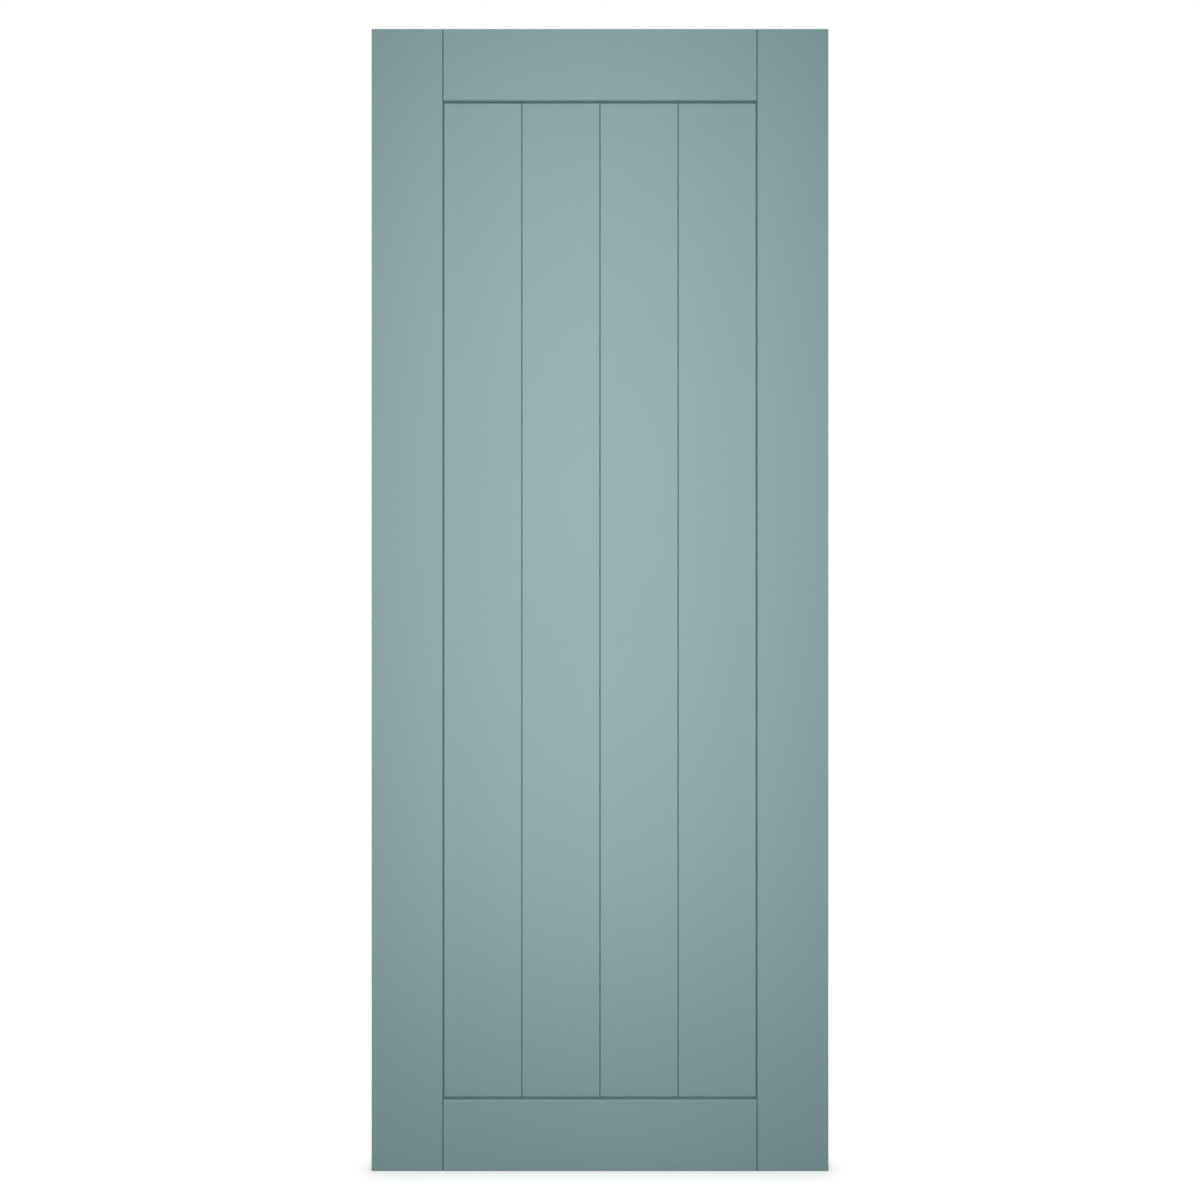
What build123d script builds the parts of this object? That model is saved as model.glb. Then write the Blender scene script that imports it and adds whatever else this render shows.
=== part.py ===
from build123d import *
import math
import os

# Panelled front door leaf: two stiles, a top and a bottom rail, and a recessed panel of upright boards.
# The rails meet the stiles in stub tenons with dowels across each joint. The boards are tongued and
# grooved together, and their edges float in grooves round the inside of the frame. V joints show where
# boards or frame members meet. Both faces of the leaf are alike.
# Millimetres. +X is to the right seen from the front, +Y goes to the back and +Z up. The origin is at
# the middle of the leaf's bottom edge, halfway through its thickness.

# The leaf
leaf_width = 813.0
leaf_height = 2032.0
leaf_thickness = 44.0
leaf_arris = 1.0  # radius of the leaf's outer edges

# The frame
stile_width = 127.0
top_rail_height = 127.0
bottom_rail_height = 127.0
rail_arris = 3.0  # radius of the rails' edges next to the panel

# The V joints between boards and between frame members
v_width = 2.4  # over both bevels
frame_v_depth = 3.5
board_v_depth = 2.0
lip_radius = 0.4  # where a bevel turns into the face

# The panel
board_count = 4
board_thickness = 18.0
board_gap = 0.3  # between neighbouring boards, for movement
panel_gap = 0.3  # between the panel's shoulders and the frame
board_tongue_thickness = 5.0
board_tongue_length = 7.0
panel_tongue_thickness = 10.0
panel_tongue_length = 12.0  # past the frame's inner edge
tongue_clearance = 0.15  # on each side of a tongue or tenon in its groove
tongue_end_gap = 0.5  # between the end of a tongue or tenon and the groove's floor
tongue_nose = 0.6  # radius of the corners at the end of a tongue or tenon

# The dowels
dowel_diameter = 16.0
dowel_length = 150.0
dowel_chamfer = 1.0
dowel_clearance = 0.1  # glue line round a dowel
dowel_end_gap = 2.0  # between a dowel's end and the end of its bore
dowels_per_joint = 3
dowel_inset = 22.0  # from a joint's end dowels to the rail's outer edge and to its panel groove
flute_count = 12
flute_width = 1.6
flute_depth = 0.8

# Worked out from the sizes above
opening_width = leaf_width - 2 * stile_width
opening_bottom = bottom_rail_height
opening_top = leaf_height - top_rail_height
board_pitch = opening_width / board_count
groove_width = panel_tongue_thickness + 2 * tongue_clearance
groove_depth = panel_tongue_length + tongue_end_gap
tenon_thickness = groove_width - 2 * tongue_clearance
tenon_length = groove_depth - tongue_end_gap
board_groove_width = board_tongue_thickness + 2 * tongue_clearance
board_groove_depth = board_tongue_length + tongue_end_gap
frame_bevel = (v_width / 2, frame_v_depth)
board_bevel = ((v_width - board_gap) / 2, board_v_depth)
dowel_radius = dowel_diameter / 2
bore_radius = dowel_radius + dowel_clearance
bore_depth = dowel_length / 2 + dowel_end_gap

sides = {"left": -1, "right": 1}
rail_edges = {  # each rail's outer and inner edge
    "bottom": (0.0, opening_bottom),
    "top": (leaf_height, opening_top),
}

# A plane at the leaf's left edge: its x axis runs up, its y axis through the thickness
upright = Plane(origin=(-leaf_width / 2, 0, 0), x_dir=(0, 0, 1), z_dir=(1, 0, 0))


def moulded_edge(side, shoulder, bevel, thickness, tip, tip_thickness, tip_radius, lip_rounding=0):
    """Corner points of one worked edge with their radii, from its front lip to its back lip.

    Bevels of one width and depth run from both faces down to the shoulder. Between them the edge
    steps out to a tongue or in to a groove, which ends at tip. The side is 1 where the edge faces
    along the axis, or else -1.
    """
    bevel_width, bevel_depth = bevel
    face = thickness / 2
    step = tip_thickness / 2
    lip = shoulder - side * bevel_width
    return [
        ((lip, -face), lip_rounding),
        ((shoulder, bevel_depth - face), 0),
        ((shoulder, -step), 0),
        ((tip, -step), tip_radius),
        ((tip, step), tip_radius),
        ((shoulder, step), 0),
        ((shoulder, face - bevel_depth), 0),
        ((lip, face), lip_rounding),
    ]


def points_of(corners):
    """The points of an outline's corners."""
    return [point for point, radius in corners]


def radii_of(corners):
    """The radii of an outline's corners."""
    return [radius for point, radius in corners]


def dowel_heights(outer_edge, inner_edge):
    """Heights of a joint's dowels, evenly spread from the rail's outer edge to its panel groove."""
    outward = 1 if outer_edge > inner_edge else -1
    first = outer_edge - outward * dowel_inset
    last = inner_edge + outward * (groove_depth + dowel_inset)
    pitch = (last - first) / (dowels_per_joint - 1)
    return [first + pitch * step for step in range(dowels_per_joint)]


os.makedirs("parts", exist_ok=True)

# The whole leaf as a plain slab with eased edges, which the frame members are cut to
with BuildPart() as leaf_outline:
    with BuildSketch(Plane.XY):
        Rectangle(leaf_width, leaf_thickness)
    extrude(amount=leaf_height)
    fillet(leaf_outline.edges(), leaf_arris)

# Left stile: one section over the whole height, with the panel groove in its inner edge
stile_inner = -opening_width / 2
stile_section = moulded_edge(
    1, stile_inner, frame_bevel, leaf_thickness, stile_inner - groove_depth, groove_width, 0, lip_radius
)
stile_section.append(((-leaf_width / 2, leaf_thickness / 2), 0))
stile_section.append(((-leaf_width / 2, -leaf_thickness / 2), 0))
stile_bores = [(0, height) for edges in rail_edges.values() for height in dowel_heights(*edges)]

with BuildPart() as stile_left:
    with BuildSketch(Plane.XY):
        with BuildLine():
            FilletPolyline(*points_of(stile_section), radius=radii_of(stile_section), close=True)
        make_face()
    extrude(amount=leaf_height)
    add(leaf_outline.part, mode=Mode.INTERSECT)
    with BuildSketch(Plane.YZ.offset(stile_inner)):
        with Locations(*stile_bores):
            Circle(bore_radius)
    extrude(amount=-bore_depth, mode=Mode.SUBTRACT)
stile_left.part.label = "stile_left"
export_step(stile_left.part, "parts/stile_left.step")

# Right stile: the left one mirrored
with BuildPart() as stile_right:
    mirror(stile_left.part, about=Plane.YZ)
stile_right.part.label = "stile_right"
export_step(stile_right.part, "parts/stile_right.step")

# Rails: the section runs to the right from the middle, the plan cuts its end to bevels and a stub
# tenon, and the left half is the right one mirrored
rail_shoulder = opening_width / 2
tenon_end = rail_shoulder + tenon_length
rail_plan = moulded_edge(
    1, rail_shoulder, frame_bevel, leaf_thickness, tenon_end, tenon_thickness, tongue_nose, lip_radius
)
rail_plan.append(((0, leaf_thickness / 2), 0))
rail_plan.append(((0, -leaf_thickness / 2), 0))

for rail_name, (outer_edge, inner_edge) in rail_edges.items():
    outward = 1 if outer_edge > inner_edge else -1
    groove_floor = inner_edge + outward * groove_depth
    rail_section = [
        ((outer_edge, -leaf_thickness / 2), 0),
        ((inner_edge, -leaf_thickness / 2), rail_arris),
        ((inner_edge, -groove_width / 2), 0),
        ((groove_floor, -groove_width / 2), 0),
        ((groove_floor, groove_width / 2), 0),
        ((inner_edge, groove_width / 2), 0),
        ((inner_edge, leaf_thickness / 2), rail_arris),
        ((outer_edge, leaf_thickness / 2), 0),
    ]
    rail_bores = [(0, height) for height in dowel_heights(outer_edge, inner_edge)]
    with BuildPart() as rail:
        with BuildSketch(upright.offset(leaf_width / 2)):
            with BuildLine():
                FilletPolyline(*points_of(rail_section), radius=radii_of(rail_section), close=True)
            make_face()
        extrude(amount=leaf_width / 2)
        with BuildSketch(Plane.XY):
            with BuildLine():
                FilletPolyline(*points_of(rail_plan), radius=radii_of(rail_plan), close=True)
            make_face()
        extrude(amount=leaf_height, mode=Mode.INTERSECT)
        add(leaf_outline.part, mode=Mode.INTERSECT)
        with BuildSketch(Plane.YZ.offset(tenon_end)):
            with Locations(*rail_bores):
                Circle(bore_radius)
        extrude(amount=-(tenon_length + bore_depth), mode=Mode.SUBTRACT)
        mirror(about=Plane.YZ)
    rail.part.label = f"{rail_name}_rail"
    export_step(rail.part, f"parts/{rail_name}_rail.step")

# Boards: the plan gives the long edges, and the side view gives the tongues and bevels at the ends
board_ends = [opening_bottom + panel_gap, opening_top - panel_gap]
tongue_ends = [opening_bottom - panel_tongue_length, opening_top + panel_tongue_length]
board_side_view = [
    *moulded_edge(
        1, board_ends[1], board_bevel, board_thickness, tongue_ends[1], panel_tongue_thickness, tongue_nose
    ),
    *moulded_edge(
        -1, board_ends[0], board_bevel, board_thickness, tongue_ends[0], panel_tongue_thickness, tongue_nose
    )[::-1],
]

for index in range(board_count):
    left_joint = index * board_pitch - opening_width / 2
    right_joint = left_joint + board_pitch
    if index == 0:
        left_shoulder = left_joint + panel_gap
        left_tip = left_joint - panel_tongue_length
        left_edge = moulded_edge(
            -1, left_shoulder, board_bevel, board_thickness, left_tip, panel_tongue_thickness, tongue_nose
        )
    else:
        left_shoulder = left_joint + board_gap / 2
        left_tip = left_shoulder + board_groove_depth
        left_edge = moulded_edge(
            -1, left_shoulder, board_bevel, board_thickness, left_tip, board_groove_width, 0
        )
    if index == board_count - 1:
        right_shoulder = right_joint - panel_gap
        right_tip = right_joint + panel_tongue_length
        right_tongue = panel_tongue_thickness
    else:
        right_shoulder = right_joint - board_gap / 2
        right_tip = right_joint + board_gap / 2 + board_tongue_length
        right_tongue = board_tongue_thickness
    right_edge = moulded_edge(
        1, right_shoulder, board_bevel, board_thickness, right_tip, right_tongue, tongue_nose
    )
    board_plan = right_edge + left_edge[::-1]
    with BuildPart() as board:
        with BuildSketch(Plane.XY):
            with BuildLine():
                FilletPolyline(*points_of(board_plan), radius=radii_of(board_plan), close=True)
            make_face()
        extrude(amount=leaf_height)
        with BuildSketch(upright):
            with BuildLine():
                FilletPolyline(*points_of(board_side_view), radius=radii_of(board_side_view), close=True)
            make_face()
        extrude(amount=leaf_width, mode=Mode.INTERSECT)
        board_faces = board.faces().filter_by(Axis.Y).sort_by(Axis.Y)
        fillet([*board_faces[0].edges(), *board_faces[-1].edges()], lip_radius)
    board.part.label = f"board_{index + 1}"
    export_step(board.part, f"parts/board_{index + 1}.step")

# Dowels: the section is a ring of narrow ribs with flutes between them, and the ends are chamfered.
# They are numbered from the rail's outer edge.
half_flute = math.degrees(math.asin(flute_width / 2 / dowel_radius))
dowel_section = []
for flute in range(flute_count):
    middle = 360 * flute / flute_count
    for radius, angle in (
        (dowel_radius, middle - half_flute),
        (dowel_radius - flute_depth, middle),
        (dowel_radius, middle + half_flute),
    ):
        dowel_section.append(Vector(radius, 0).rotate(Axis.Z, angle))

for rail_name, (outer_edge, inner_edge) in rail_edges.items():
    for side_name, side in sides.items():
        for number, height in enumerate(dowel_heights(outer_edge, inner_edge), start=1):
            dowel_start = side * opening_width / 2 - dowel_length / 2
            with BuildPart() as dowel:
                with BuildSketch(Plane(origin=(dowel_start, 0, height), z_dir=(1, 0, 0))):
                    with BuildLine():
                        Polyline(*dowel_section, close=True)
                    make_face()
                extrude(amount=dowel_length)
                chamfer(dowel.faces().filter_by(Axis.X).edges(), dowel_chamfer)
            dowel_name = f"dowel_{rail_name}_{side_name}_{number}"
            dowel.part.label = dowel_name
            export_step(dowel.part, f"parts/{dowel_name}.step")
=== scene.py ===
import logging
import math
from collections.abc import Iterable
from dataclasses import dataclass, field, replace
from enum import Enum

import bpy
import numpy as np
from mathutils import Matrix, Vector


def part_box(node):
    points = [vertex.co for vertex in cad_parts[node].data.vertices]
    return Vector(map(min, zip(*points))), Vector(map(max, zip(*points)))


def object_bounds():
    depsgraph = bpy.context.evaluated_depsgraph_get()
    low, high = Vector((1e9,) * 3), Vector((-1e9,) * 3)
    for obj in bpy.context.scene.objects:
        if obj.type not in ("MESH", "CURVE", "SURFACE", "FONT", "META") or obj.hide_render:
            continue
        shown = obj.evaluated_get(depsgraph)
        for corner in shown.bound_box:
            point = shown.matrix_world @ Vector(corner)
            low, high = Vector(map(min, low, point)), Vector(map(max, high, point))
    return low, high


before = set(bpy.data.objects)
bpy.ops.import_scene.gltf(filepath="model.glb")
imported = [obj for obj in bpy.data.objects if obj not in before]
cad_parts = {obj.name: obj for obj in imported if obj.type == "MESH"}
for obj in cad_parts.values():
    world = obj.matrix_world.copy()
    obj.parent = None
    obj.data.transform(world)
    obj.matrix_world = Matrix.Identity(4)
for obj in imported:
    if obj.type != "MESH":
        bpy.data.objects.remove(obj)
cad_low, cad_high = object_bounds()

log = logging.getLogger("door_leaf")

Point = tuple[float, float, float]
Colour = tuple[float, float, float]
Piece = bpy.types.Object
Socket = bpy.types.NodeSocket

UNSCALED = (1.0, 1.0, 1.0)
WHITE = (1.0, 1.0, 1.0, 1.0)


def linear(red: int, green: int, blue: int) -> Colour:
    """Linear light of a screen colour.

    Each channel is divided by 255, then follows the screen's curve: up to 0.04045 the value
    divided by 12.92, and above it the power 2.4 of the value raised by 0.055 and divided by
    1.055.

    Args:
        red: Red from 0 to 255.
        green: Green from 0 to 255.
        blue: Blue from 0 to 255.

    Returns:
        The three channels in linear light.
    """
    values = np.array([red, green, blue]) / 255.0
    light = np.where(values <= 0.04045, values / 12.92, ((values + 0.055) / 1.055) ** 2.4)
    return tuple(float(channel) for channel in light)


def about(middle: float, swing: float) -> tuple[float, float]:
    """The lowest and highest value of a swing about a middle."""
    return middle - swing, middle + swing


class Grain(Enum):
    """The axis that the timber's grain runs along."""

    UPRIGHT = "Z"
    ACROSS = "X"

    def along(self) -> Point:
        """The grain's direction as a unit vector."""
        return tuple(float(letter == self.value) for letter in "XYZ")


class Facing(Enum):
    """Where a lamp points, as turns about X and then Z in degrees."""

    BACKWARD = (90.0, 0.0)
    FORWARD = (90.0, 180.0)
    RIGHTWARD = (90.0, -90.0)
    LEFTWARD = (90.0, 90.0)
    DOWNWARD = (0.0, 0.0)


class ShaderTree:
    """The node tree of a new material or world, with short calls that add and join its nodes.

    Coordinates and depths are in metres.

    Attributes:
        nodes: The tree's nodes.
        links: The tree's links.
        surface: The input of the output node, which takes the finished shader.
        WAVE_PERIOD: Scaled length from one crest of the wave texture to the next.
        NOISE_LOW: The value that a noise rarely falls below.
        NOISE_HIGH: The value that a noise rarely rises above.
        END_FACE_COSINE: How squarely a face has to look along the grain to be an end face.
    """

    WAVE_PERIOD = math.pi / 10.0
    NOISE_LOW = 0.25
    NOISE_HIGH = 0.75
    END_FACE_COSINE = 0.9

    def __init__(self, owner: bpy.types.Material | bpy.types.World) -> None:
        """Clears the owner's tree and adds only its output.

        Args:
            owner: A new material or world.
        """
        owner.use_nodes = True
        self.nodes = owner.node_tree.nodes
        self.links = owner.node_tree.links
        self.nodes.clear()
        kind = "OutputWorld" if isinstance(owner, bpy.types.World) else "OutputMaterial"
        self.surface = self.add(kind).inputs["Surface"]

    def add(self, kind: str, **settings: object) -> bpy.types.Node:
        """Adds one node.

        Args:
            kind: The node's type, without the words ShaderNode.
            settings: Properties to set on the node.

        Returns:
            The new node.
        """
        node = self.nodes.new(f"ShaderNode{kind}")
        for key, value in settings.items():
            setattr(node, key, value)
        return node

    def join(self, source: Socket, target: Socket) -> None:
        """Joins an output to an input."""
        self.links.new(source, target)

    def show(self, shader: Socket) -> None:
        """Joins the finished shader to the tree's output."""
        self.join(shader, self.surface)

    def arithmetic(self, operation: str, *values: Socket | float) -> Socket:
        """Adds one math node.

        Args:
            operation: What the node does with its values.
            values: The values in the order of the node's inputs.

        Returns:
            The result's socket.
        """
        node = self.add("Math", operation=operation)
        for value, target in zip(values, node.inputs):
            if isinstance(value, float):
                target.default_value = value
            else:
                self.join(value, target)
        return node.outputs["Value"]

    def product(self, first: Socket, second: Socket) -> Socket:
        """Multiplies two values."""
        return self.arithmetic("MULTIPLY", first, second)

    def total(self, first: Socket, second: Socket, share: float = 1.0) -> Socket:
        """Adds a share of the second value to the first."""
        return self.arithmetic("MULTIPLY_ADD", second, share, first)

    def ramp(self, value: Socket, start: float, end: float, low: float, high: float) -> Socket:
        """A straight ramp of a value, which is level beyond both of its ends.

        Args:
            value: The value's socket.
            start: The value where the ramp starts.
            end: The value where it ends.
            low: The result at the start.
            high: The result at the end.

        Returns:
            The result's socket.
        """
        mapped = self.add("MapRange")
        mapped.inputs["From Min"].default_value = start
        mapped.inputs["From Max"].default_value = end
        mapped.inputs["To Min"].default_value = low
        mapped.inputs["To Max"].default_value = high
        self.join(value, mapped.inputs["Value"])
        return mapped.outputs["Result"]

    def spread(self, noise: Socket, low: float, high: float) -> Socket:
        """Maps the useful range of a noise to the range from low to high."""
        return self.ramp(noise, self.NOISE_LOW, self.NOISE_HIGH, low, high)

    def placed(self, scale: Point = UNSCALED, offset: Point = (0.0, 0.0, 0.0)) -> Socket:
        """Object coordinates, scaled along each axis and then moved by an offset.

        Args:
            scale: Factors along X, Y and Z.
            offset: The shift along X, Y and Z, which sets one piece's pattern apart from
                another's.

        Returns:
            The coordinates' socket.
        """
        mapping = self.add("Mapping", vector_type="POINT")
        mapping.inputs["Location"].default_value = offset
        mapping.inputs["Scale"].default_value = scale
        self.join(self.add("TexCoord").outputs["Object"], mapping.inputs["Vector"])
        return mapping.outputs["Vector"]

    def noise(self, place: Socket, scale: float, layers: float) -> Socket:
        """Noise from 0 to 1 over coordinates.

        Args:
            place: The coordinates' socket.
            scale: Features to each unit of the coordinates.
            layers: Number of finer layers.

        Returns:
            The noise value's socket.
        """
        noise = self.add("TexNoise")
        noise.inputs["Scale"].default_value = scale
        noise.inputs["Detail"].default_value = layers
        self.join(place, noise.inputs["Vector"])
        return noise.outputs["Fac"]

    def rings(self, place: Socket, grain: Grain, spacing: float, wander: float) -> Socket:
        """Growth rings from 0 to 1, round the axis of the grain through the coordinates' origin.

        The texture's scale is its own period divided by the spacing.

        Args:
            place: The coordinates' socket.
            grain: The direction of the rings' axis.
            spacing: From one ring to the next.
            wander: How far a ring strays, in radians of the wave.

        Returns:
            The rings' socket.
        """
        wave = self.add("TexWave", wave_type="RINGS", rings_direction=grain.value)
        wave.inputs["Scale"].default_value = self.WAVE_PERIOD / spacing
        wave.inputs["Distortion"].default_value = wander
        self.join(place, wave.inputs["Vector"])
        return wave.outputs["Fac"]

    def end_faces(self, grain: Grain) -> Socket:
        """A value of 1 where the grain ends in the surface, and 0 on the long faces.

        Args:
            grain: The grain's direction.

        Returns:
            The value's socket.
        """
        facing = self.add("VectorMath", operation="DOT_PRODUCT")
        facing.inputs[1].default_value = grain.along()
        self.join(self.add("NewGeometry").outputs["Normal"], facing.inputs[0])
        cosine = self.arithmetic("ABSOLUTE", facing.outputs["Value"])
        return self.arithmetic("GREATER_THAN", cosine, self.END_FACE_COSINE)

    def blend(self, share: Socket, first: Colour, second: Colour) -> Socket:
        """Mixes two colours.

        Args:
            share: The second colour's share.
            first: The colour at share 0.
            second: The colour at share 1.

        Returns:
            The mixed colour's socket.
        """
        mix = self.add("Mix", data_type="RGBA")
        mix.inputs["A"].default_value = (*first, 1.0)
        mix.inputs["B"].default_value = (*second, 1.0)
        self.join(share, mix.inputs["Factor"])
        return mix.outputs["Result"]

    def relief(self, layers: Iterable[tuple[Socket, float]]) -> Socket:
        """A normal bumped by layers of relief, each of which lies on the one before it.

        Args:
            layers: For each layer, its height's socket, from 0 to 1, and its depth, which is
                the distance between heights 0 and 1.

        Returns:
            The normal's socket.
        """
        normal = None
        for height, depth in layers:
            bump = self.add("Bump")
            bump.inputs["Distance"].default_value = depth
            self.join(height, bump.inputs["Height"])
            if normal is not None:
                self.join(normal, bump.inputs["Normal"])
            normal = bump.outputs["Normal"]
        return normal

    def seen_directly(self) -> Socket:
        """A value of 1 on camera, mirror and see-through rays, and 0 on rays that only light.

        Returns:
            The value's socket.
        """
        rays = self.add("LightPath").outputs
        seen = rays["Is Camera Ray"]
        for kind in ("Is Glossy Ray", "Is Transmission Ray"):
            seen = self.arithmetic("MAXIMUM", seen, rays[kind])
        return seen


def put_on(piece: Piece, material: bpy.types.Material) -> None:
    """Gives a piece one material, which is its only one from then on."""
    piece.data.materials.clear()
    piece.data.materials.append(material)


@dataclass(frozen=True)
class SatinPaint:
    """Sprayed satin paint over smooth timber.

    The coat has a fine orange peel, and the grain shows through as streaks that are barely
    there, in the colour and in the relief. Broad clouds vary the colour and the gloss. On the
    ends of the timber the coat sinks in, so the growth rings and the open pores show, in a
    deeper shade and as relief. Lengths are in metres.

    Attributes:
        colour: The middle colour, in linear light.
        tone_swing: How far the deepest and the lightest tone lie from it, as a share of it.
        streak_share: How far the streaks move the tone, where 1 is from deepest to lightest.
        cloud_share: The same for the clouds.
        ring_share: The same for the rings, which only deepen it.
        roughness: The middle roughness.
        roughness_swing: How far the clouds move the roughness, up and down.
        peel_size: Width of one bump of the orange peel.
        peel_depth: Height of the orange peel.
        grain_width: Width of one streak.
        grain_stretch: A streak's length as a multiple of its width.
        grain_depth: Height of the streaks.
        cloud_size: Width of one cloud.
        ring_spacing: From one growth ring to the next.
        ring_wander: How far a ring strays, in radians of the wave.
        ring_depth: Height of the rings.
        pore_size: Width of one pore.
        pore_depth: Depth of the pores.
        heart: From the heart of the log to the middle of the piece, which is sawn from its side.
        pattern_step: Offset of the pattern from one piece to the next.
        streak_layers: Number of finer layers in the streaks.
        layers: Number of finer layers in the clouds, the peel and the pores.
    """

    colour: Colour = linear(139, 169, 172)
    tone_swing: float = 0.08
    streak_share: float = 0.07
    cloud_share: float = 0.07
    ring_share: float = 0.5
    roughness: float = 0.425
    roughness_swing: float = 0.025
    peel_size: float = 0.0022
    peel_depth: float = 0.000009
    grain_width: float = 0.0016
    grain_stretch: float = 45.0
    grain_depth: float = 0.000012
    cloud_size: float = 0.35
    ring_spacing: float = 0.0034
    ring_wander: float = 2.5
    ring_depth: float = 0.00009
    pore_size: float = 0.0007
    pore_depth: float = 0.00005
    heart: Point = (0.021, 0.085, 0.021)
    pattern_step: Point = (0.37, 0.11, 0.53)
    streak_layers: float = 3.0
    layers: float = 2.0

    def dress(self, piece: Piece, grain: Grain, number: int) -> None:
        """Makes the finish for one piece and puts it on.

        Args:
            piece: The object to dress.
            grain: Which way the piece's grain runs.
            number: A number of the piece's own, which shifts its pattern.
        """
        material = bpy.data.materials.new(f"satin_paint_{piece.name}")
        tree = ShaderTree(material)
        offset = tuple(step * number for step in self.pattern_step)
        streaks = tree.noise(tree.placed(self.streak_scale(grain), offset), 1.0, self.streak_layers)
        plain = tree.placed(offset=offset)
        clouds, peel, pores = (
            tree.noise(plain, 1.0 / size, self.layers)
            for size in (self.cloud_size, self.peel_size, self.pore_size)
        )
        ends = tree.end_faces(grain)
        rings = tree.product(self.rings_of(tree, piece, grain), ends)

        coat = tree.add("BsdfPrincipled")
        tree.join(self.tone_of(tree, streaks, clouds, rings), coat.inputs["Base Color"])
        gloss = tree.spread(clouds, *about(self.roughness, self.roughness_swing))
        tree.join(gloss, coat.inputs["Roughness"])
        relief = tree.relief([
            (streaks, self.grain_depth),
            (peel, self.peel_depth),
            (rings, self.ring_depth),
            (tree.product(pores, ends), self.pore_depth),
        ])
        tree.join(relief, coat.inputs["Normal"])
        tree.show(coat.outputs["BSDF"])
        put_on(piece, material)

    def streak_scale(self, grain: Grain) -> Point:
        """Factors that squeeze the coordinates to streaks along the grain.

        Each factor is 1 divided by the length of a streak along that axis: grain_width across
        the grain, and grain_stretch times as much along it.

        Args:
            grain: Which way the piece's grain runs.

        Returns:
            The factors along X, Y and Z.
        """
        stretches = (1.0 + (self.grain_stretch - 1.0) * share for share in grain.along())
        return tuple(1.0 / (self.grain_width * stretch) for stretch in stretches)

    def rings_of(self, tree: ShaderTree, piece: Piece, grain: Grain) -> Socket:
        """Growth rings round the heart of the log that the piece is sawn from.

        Args:
            tree: The material's tree.
            piece: The piece that it is for.
            grain: Which way the piece's grain runs.

        Returns:
            The rings' socket.
        """
        low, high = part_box(piece.name)
        offset = tuple(aside - (a + b) / 2 for aside, a, b in zip(self.heart, low, high))
        return tree.rings(tree.placed(offset=offset), grain, self.ring_spacing, self.ring_wander)

    def tone_of(self, tree: ShaderTree, streaks: Socket, clouds: Socket, rings: Socket) -> Socket:
        """The paint's colour, from its deepest to its lightest tone.

        Args:
            tree: The material's tree.
            streaks: The streaks' socket.
            clouds: The clouds' socket.
            rings: The socket of the rings, which show on the ends only.

        Returns:
            The colour's socket.
        """
        streak_tone = tree.spread(streaks, *about(0.5, self.streak_share))
        cloud_tone = tree.spread(clouds, *about(0.0, self.cloud_share))
        tone = tree.total(tree.total(streak_tone, cloud_tone), rings, -self.ring_share)
        deep, light = (
            tuple(channel * factor for channel in self.colour)
            for factor in about(1.0, self.tone_swing)
        )
        return tree.blend(tone, deep, light)


@dataclass(frozen=True)
class BareBeech:
    """Bare turned beech: pale brown, with flecks and fine pores along the dowel.

    Lengths are in metres.

    Attributes:
        pale: The colour between the flecks, in linear light.
        dark: The flecks' colour, in linear light.
        roughness: The roughness between the flecks.
        roughness_rise: How much rougher the flecks are.
        fleck_width: Width of one fleck.
        fleck_stretch: A fleck's length as a multiple of its width.
        fleck_layers: Number of finer layers in the flecks.
        pore_depth: Depth of the pores.
        pattern_step: Offset of the pattern from one dowel to the next.
    """

    pale: Colour = linear(214, 178, 138)
    dark: Colour = linear(181, 136, 96)
    roughness: float = 0.62
    roughness_rise: float = 0.1
    fleck_width: float = 0.0007
    fleck_stretch: float = 9.0
    fleck_layers: float = 4.0
    pore_depth: float = 0.00004
    pattern_step: Point = (0.19, 0.07, 0.0)

    def dress(self, piece: Piece, number: int) -> None:
        """Makes the finish for one dowel and puts it on.

        Args:
            piece: The object to dress.
            number: A number of the piece's own, which shifts its pattern.
        """
        material = bpy.data.materials.new(f"bare_beech_{piece.name}")
        tree = ShaderTree(material)
        across = 1.0 / self.fleck_width
        scale = (across / self.fleck_stretch, across, across)
        offset = tuple(step * number for step in self.pattern_step)
        flecks = tree.noise(tree.placed(scale, offset), 1.0, self.fleck_layers)

        timber = tree.add("BsdfPrincipled")
        colour = tree.blend(tree.spread(flecks, 0.0, 1.0), self.pale, self.dark)
        tree.join(colour, timber.inputs["Base Color"])
        gloss = tree.spread(flecks, self.roughness, self.roughness + self.roughness_rise)
        tree.join(gloss, timber.inputs["Roughness"])
        tree.join(tree.relief([(flecks, self.pore_depth)]), timber.inputs["Normal"])
        tree.show(timber.outputs["BSDF"])
        put_on(piece, material)


@dataclass
class LeafFrame:
    """The stiles and rails round the panel.

    Attributes:
        paint: The finish of all four.
        stiles: Names of the upright members.
        rails: Names of the members between them.
    """

    paint: SatinPaint = field(default_factory=SatinPaint)
    stiles: tuple[str, ...] = ("stile_left", "stile_right")
    rails: tuple[str, ...] = ("top_rail", "bottom_rail")

    def dress(self) -> Iterable[str]:
        """Paints the members, with the grain along each.

        Returns:
            The names of the painted nodes.
        """
        members = self.stiles + self.rails
        for number, name in enumerate(members):
            grain = Grain.UPRIGHT if name in self.stiles else Grain.ACROSS
            self.paint.dress(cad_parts[name], grain, number)
        return members


@dataclass
class BoardPanel:
    """The upright boards of the panel, in a colour a little deeper than the frame's, which is
    painted shade of the recess they sit in.

    Attributes:
        paint: The finish of all the boards, whose deeper colour is painted recess shade.
        first_number: The first board's number, which follows the last one in the frame.
    """

    # Painted shade: the boards' colour is a touch deeper than the frame's, for the recess they sit
    # in.
    paint: SatinPaint = field(default_factory=lambda: SatinPaint(colour=linear(138, 168, 171)))
    first_number: int = 4

    def dress(self) -> Iterable[str]:
        """Paints the boards, each with a pattern of its own.

        Returns:
            The names of the painted nodes.
        """
        boards = sorted(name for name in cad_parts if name.startswith("board_"))
        for number, name in enumerate(boards, self.first_number):
            self.paint.dress(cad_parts[name], Grain.UPRIGHT, number)
        return boards


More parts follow.
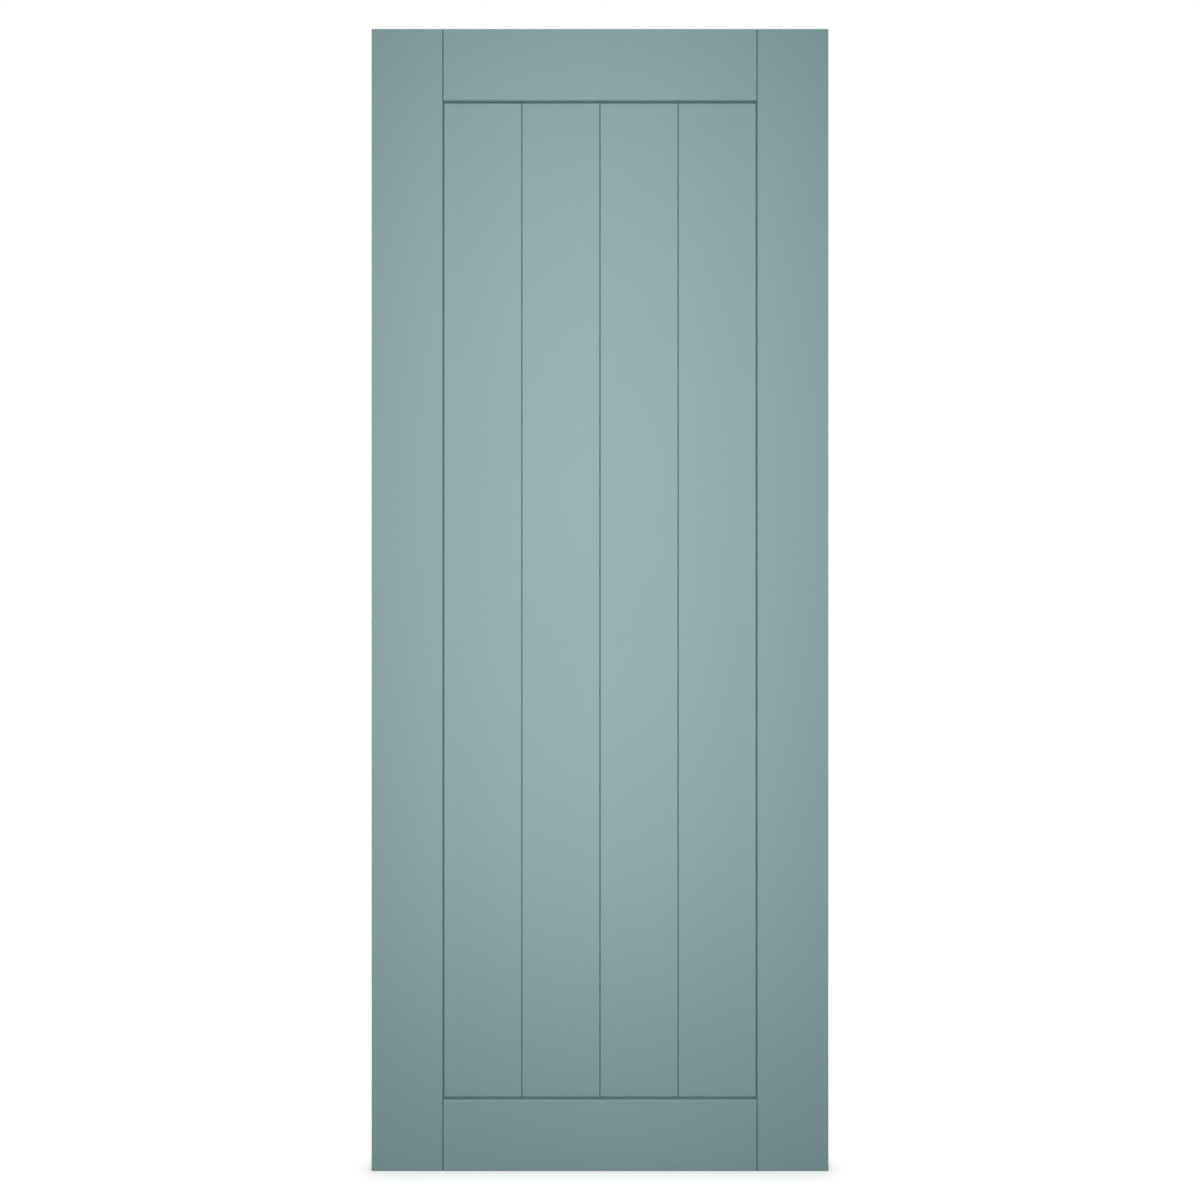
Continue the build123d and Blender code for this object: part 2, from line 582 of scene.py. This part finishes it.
@dataclass
class DowelSet:
    """The dowels inside the four joints of the frame.

    Attributes:
        beech: The finish of all the dowels.
    """

    beech: BareBeech = field(default_factory=BareBeech)

    def dress(self) -> Iterable[str]:
        """Gives each dowel its bare timber.

        Returns:
            The names of the dressed nodes.
        """
        dowels = sorted(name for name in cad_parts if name.startswith("dowel_"))
        for number, name in enumerate(dowels):
            self.beech.dress(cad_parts[name], number)
        return dowels


@dataclass(frozen=True)
class SoftLamp:
    """A flat soft box, which only lights and isn't seen by the camera.

    Attributes:
        name: The lamp's name.
        centre: Its middle, in metres.
        width: Its width, in metres.
        height: Its height, in metres, or its depth where it looks down.
        radiance: Its brightness.
        facing: Where it points.
        spread: The full angle of its light, in degrees.
    """

    name: str
    centre: Point
    width: float
    height: float
    radiance: float
    facing: Facing
    spread: float

    def opposite(self, name: str, facing: Facing) -> "SoftLamp":
        """The same lamp across the upright axis through the origin.

        Args:
            name: The other lamp's name.
            facing: Where the other lamp points.

        Returns:
            The other lamp.
        """
        x, y, z = self.centre
        return replace(self, name=name, centre=(-x, -y, z), facing=facing)

    def light(self) -> None:
        """Puts the lamp in the scene.

        The power is pi times the radiance times the area, as of a flat lamp that shines evenly
        to all of its side.
        """
        data = bpy.data.lights.new(self.name, "AREA")
        data.shape = "RECTANGLE"
        data.size = self.width
        data.size_y = self.height
        data.spread = math.radians(self.spread)
        data.energy = math.pi * self.radiance * self.width * self.height
        lamp = bpy.data.objects.new(self.name, data)
        tilt, turn = self.facing.value
        lamp.rotation_euler = (math.radians(tilt), 0.0, math.radians(turn))
        lamp.location = self.centre
        lamp.visible_camera = False
        bpy.context.scene.collection.objects.link(lamp)


FRONT_SOFTBOX = SoftLamp(
    name="front_softbox",
    centre=(-0.03, -1.5, 1.24),
    width=0.85,
    height=2.4,
    radiance=2.68,
    facing=Facing.BACKWARD,
    spread=146.0,
)
LEFT_STRIPLIGHT = SoftLamp(
    name="left_striplight",
    centre=(-1.7, 0.0, 1.3),
    width=0.04,
    height=2.0,
    radiance=25.0,
    facing=Facing.RIGHTWARD,
    spread=100.0,
)
TOP_STRIPLIGHT = SoftLamp(
    name="top_striplight",
    centre=(0.0, 0.0, 3.2),
    width=1.0,
    height=0.04,
    radiance=32.0,
    facing=Facing.DOWNWARD,
    spread=100.0,
)


@dataclass
class Studio:
    """Plain floor, white surroundings and soft lamps.

    Lengths are in metres.

    Attributes:
        floor_side: Length of the square floor's sides.
        floor_bounce: Share of the light that the floor sends back to the leaf.
        floor_tone: Share of the light that the floor sends back to the eye.
        glow_near: The floor's own glow for the eye, close to the leaf.
        glow_far: The same, far from it.
        glow_from: The radius where the glow starts to rise.
        glow_to: The radius where it has risen.
        painted_shadow_reach: How far off the leaf can be to dim the glow into a painted contact
            shadow.
        painted_shadow_tone: What is left of the glow where the leaf hides painted_shadow_open of
            the sky, which is the depth of the painted shadow.
        painted_shadow_open: Share of the sky that is still open there.
        painted_shadow_samples: Number of rays that look for the leaf.
        ambient: Strength of the even light from all round.
        lamps: The lamps.
    """

    floor_side: float = 14.0
    floor_bounce: float = 0.2
    floor_tone: float = 0.6
    glow_near: float = 0.7
    glow_far: float = 1.0
    glow_from: float = 0.6
    glow_to: float = 1.4
    # These values paint a contact shadow into the floor's glow next to the leaf.
    painted_shadow_reach: float = 0.12
    painted_shadow_tone: float = 0.75
    painted_shadow_open: float = 0.5
    painted_shadow_samples: int = 8
    ambient: float = 0.06
    lamps: tuple[SoftLamp, ...] = (
        FRONT_SOFTBOX,
        FRONT_SOFTBOX.opposite("back_softbox", Facing.FORWARD),
        LEFT_STRIPLIGHT,
        LEFT_STRIPLIGHT.opposite("right_striplight", Facing.LEFTWARD),
        TOP_STRIPLIGHT,
    )

    def build(self) -> None:
        """Lays the floor, sets the surroundings and puts up the lamps."""
        self.lay_floor()
        self.surround()
        for lamp in self.lamps:
            lamp.light()

    def lay_floor(self) -> None:
        """Lays a square floor under the leaf.

        The corners are those of a square with sides of 2 about the origin, times half a side.
        """
        corners = np.array([[-1, -1, 0], [1, -1, 0], [1, 1, 0], [-1, 1, 0]]) * self.floor_side / 2
        mesh = bpy.data.meshes.new("floor")
        mesh.from_pydata(corners.tolist(), [], [(0, 1, 2, 3)])
        floor = bpy.data.objects.new("floor", mesh)
        bpy.context.scene.collection.objects.link(floor)
        mesh.materials.append(self.floor_look())

    def floor_look(self) -> bpy.types.Material:
        """Makes the floor white to the eye, though it still takes the leaf's shadow, with a painted
        contact shadow in its glow next to the leaf.

        Returns:
            The floor's material.
        """
        material = bpy.data.materials.new("pale_floor")
        tree = ShaderTree(material)
        seen = tree.seen_directly()
        matt = tree.add("BsdfDiffuse")
        bounced, shown = (self.floor_bounce,) * 3, (self.floor_tone,) * 3
        tree.join(tree.blend(seen, bounced, shown), matt.inputs["Color"])
        glow = tree.add("Emission")
        tree.join(tree.product(self.glow_and_painted_shadow_of(tree), seen), glow.inputs["Strength"])
        both = tree.add("AddShader")
        tree.join(matt.outputs["BSDF"], both.inputs[0])
        tree.join(glow.outputs["Emission"], both.inputs[1])
        tree.show(both.outputs["Shader"])
        return material

    def glow_and_painted_shadow_of(self, tree: ShaderTree) -> Socket:
        """Strength of the glow that whitens the floor for the eye, with a painted contact shadow.

        It rises in a line from the near value to the far value between two radii round the
        leaf. Next to the leaf it dims in a line with the share of the sky that the leaf hides,
        which paints a contact shadow into the glow.

        Args:
            tree: The floor material's tree.

        Returns:
            The strength's socket.
        """
        radius = tree.add("VectorMath", operation="LENGTH")
        tree.join(tree.add("TexCoord").outputs["Object"], radius.inputs[0])
        rise = (self.glow_from, self.glow_to, self.glow_near, self.glow_far)
        # Painted contact shadow: the glow is dimmed where the leaf hides the sky next to it.
        sky = tree.add("AmbientOcclusion", samples=self.painted_shadow_samples)
        sky.inputs["Distance"].default_value = self.painted_shadow_reach
        painted_shadow_dimming = (self.painted_shadow_open, 1.0, self.painted_shadow_tone, 1.0)
        return tree.product(
            tree.ramp(radius.outputs["Value"], *rise),
            tree.ramp(sky.outputs["AO"], *painted_shadow_dimming),
        )

    def surround(self) -> None:
        """Makes the surroundings white to the eye, and a soft even light otherwise."""
        world = bpy.data.worlds.new("surroundings")
        tree = ShaderTree(world)
        mix = tree.add("MixShader")
        tree.join(tree.seen_directly(), mix.inputs["Fac"])
        for strength, target in zip((self.ambient, 1.0), mix.inputs[1:]):
            background = tree.add("Background")
            background.inputs["Color"].default_value = WHITE
            background.inputs["Strength"].default_value = strength
            tree.join(background.outputs["Background"], target)
        tree.show(mix.outputs["Shader"])
        bpy.context.scene.world = world


@dataclass
class PhotoCamera:
    """The photograph's view: straight at the middle of the leaf, from mid height.

    Attributes:
        frame_px: The photograph's width and height, in pixels.
        leaf_top_px: Where the leaf's top edge is, in pixels from the top.
        leaf_bottom_px: Where its bottom edge is.
        distance: From the camera to the leaf's face, in metres.
        sensor: The sensor's width, in millimetres.
    """

    frame_px: float = 1200.0
    leaf_top_px: float = 28.75
    leaf_bottom_px: float = 1171.25
    distance: float = 2.65
    sensor: float = 36.0

    def place(self) -> None:
        """Makes the camera.

        The lens follows from similar triangles: the sensor's width is to the lens as the width
        of what the picture shows at the leaf's face is to the distance.
        """
        metres_per_px = (cad_high.z - cad_low.z) / (self.leaf_bottom_px - self.leaf_top_px)
        shown = self.frame_px * metres_per_px
        data = bpy.data.cameras.new("photo_camera")
        data.sensor_width = self.sensor
        data.lens = self.sensor * self.distance / shown
        camera = bpy.data.objects.new("photo_camera", data)
        camera.location = (0.0, cad_low.y - self.distance, (cad_low.z + cad_high.z) / 2)
        camera.rotation_euler = (math.radians(90.0), 0.0, 0.0)
        bpy.context.scene.collection.objects.link(camera)
        bpy.context.scene.camera = camera


def main() -> None:
    """Dresses the leaf, then builds the studio and the camera round it."""
    logging.basicConfig(level=logging.INFO, format="%(name)s: %(message)s")
    for part in (LeafFrame(), BoardPanel(), DowelSet()):
        for name in part.dress():
            log.info("dressed %s", name)
    Studio().build()
    log.info("built the studio")
    PhotoCamera().place()
    log.info("placed the camera")
    bpy.context.scene.view_settings.view_transform = "Standard"


if __name__ == "__main__":
    main()
